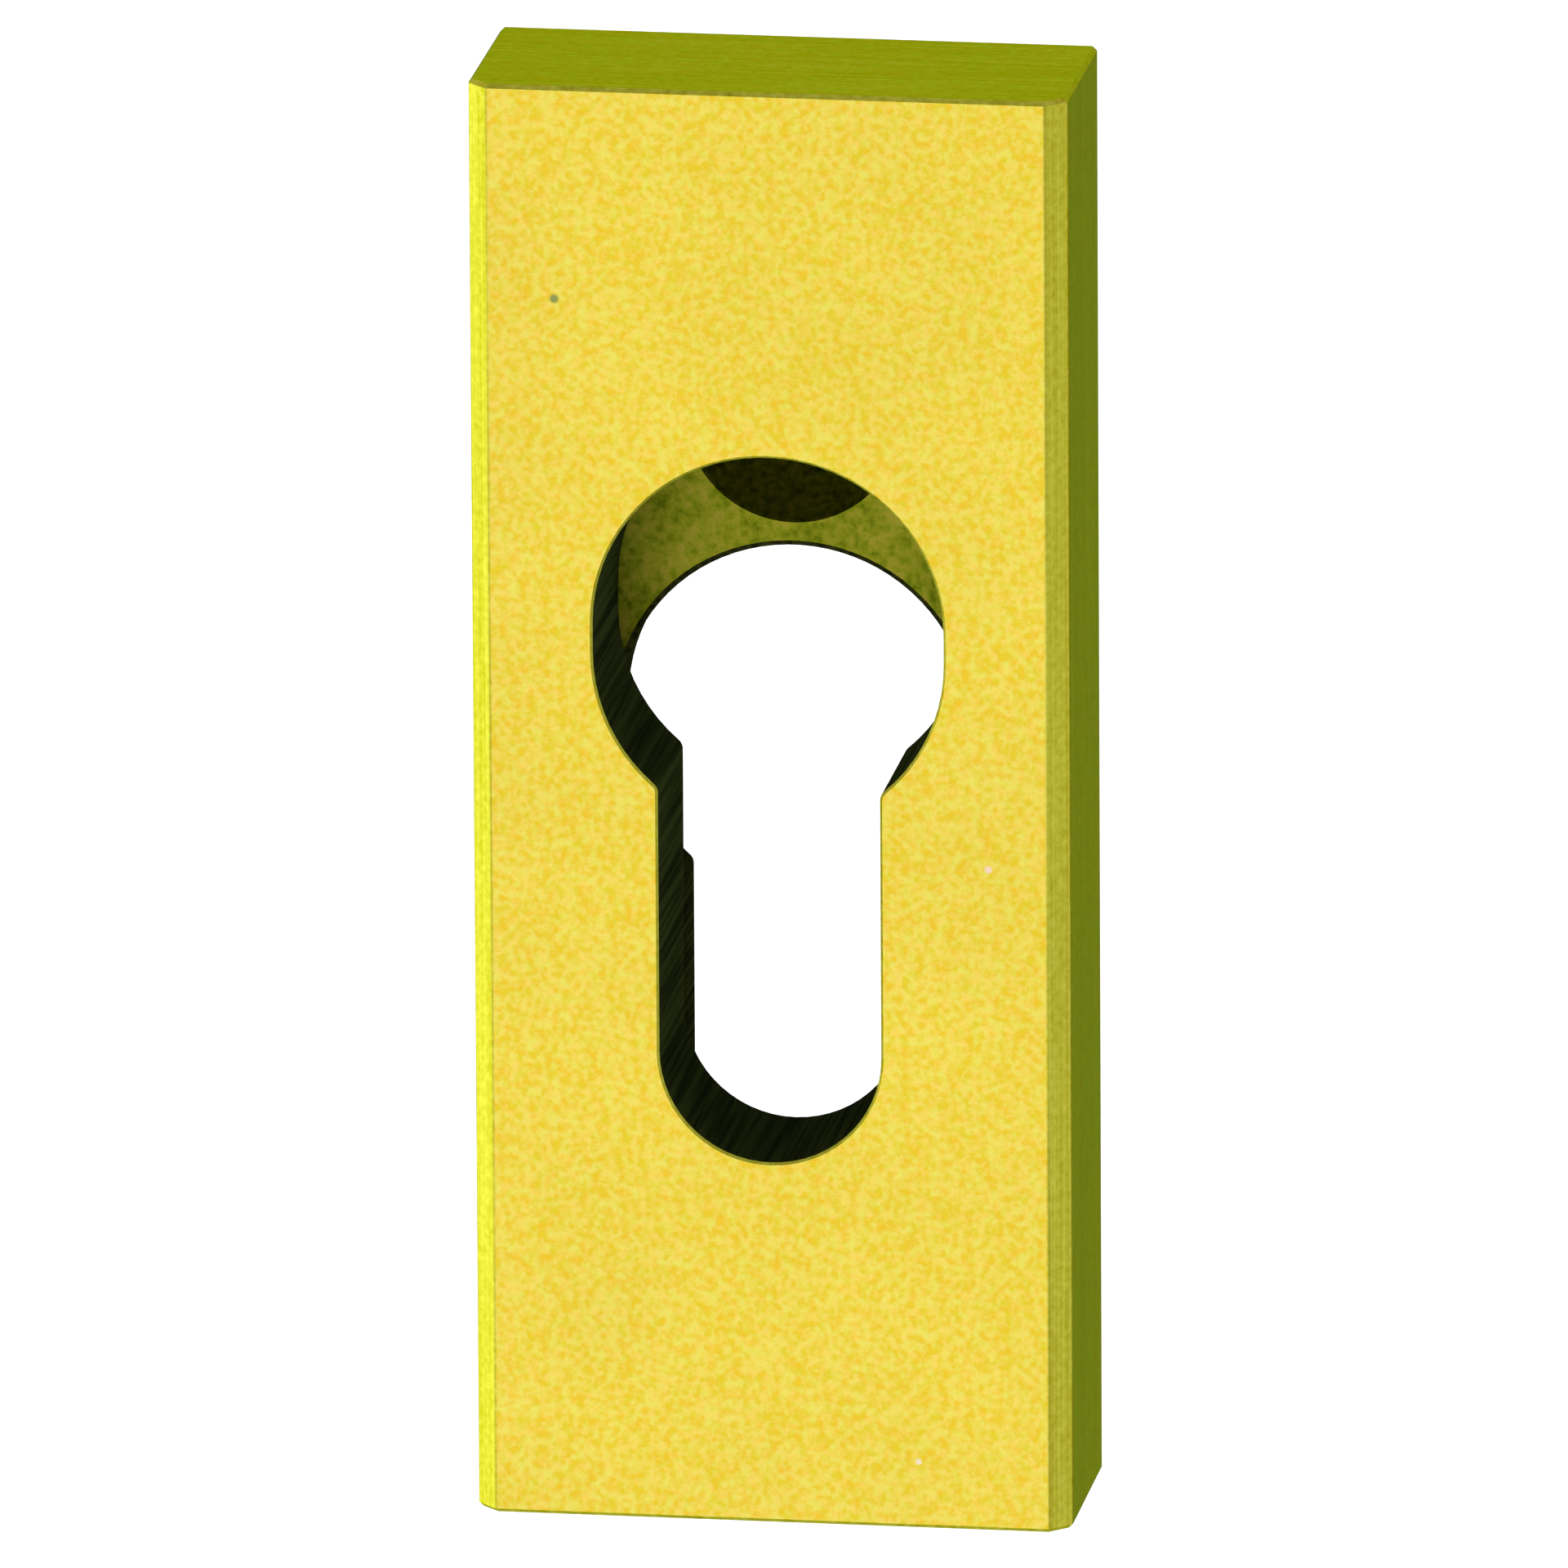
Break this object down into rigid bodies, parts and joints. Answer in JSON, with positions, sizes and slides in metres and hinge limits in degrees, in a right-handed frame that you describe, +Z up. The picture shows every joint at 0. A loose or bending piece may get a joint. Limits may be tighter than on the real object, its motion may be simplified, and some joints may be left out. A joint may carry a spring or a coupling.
{
  "type": "keyhole escutcheon",
  "caption": "Rectangular bar escutcheon with a keyhole-shaped opening for a profile cylinder lock; the cover slides on the dovetail of a base plate that is screwed to the door.",
  "frame": {"origin": "midway between the base plate's two screw holes, on the door's surface", "axes": "+X across the door to the right, +Y into the door, +Z up; the front faces -Y"},
  "size_m": [0.0294, 0.0115, 0.0732],
  "materials": {
    "passivated_steel": "zinc plated, yellow passivated",
    "gold_anodised": "satin, gold anodised"
  },
  "bodies": {
    "base_plate": {"base_plate": "passivated_steel"},
    "cover": {"cover": "gold_anodised"}
  },
  "joints": [
    {"name": "cover_slide", "type": "slide", "parent": "base_plate", "child": "cover", "axis": [0, 0, 1], "range_m": [-0.0067, 0.055]}
  ]
}
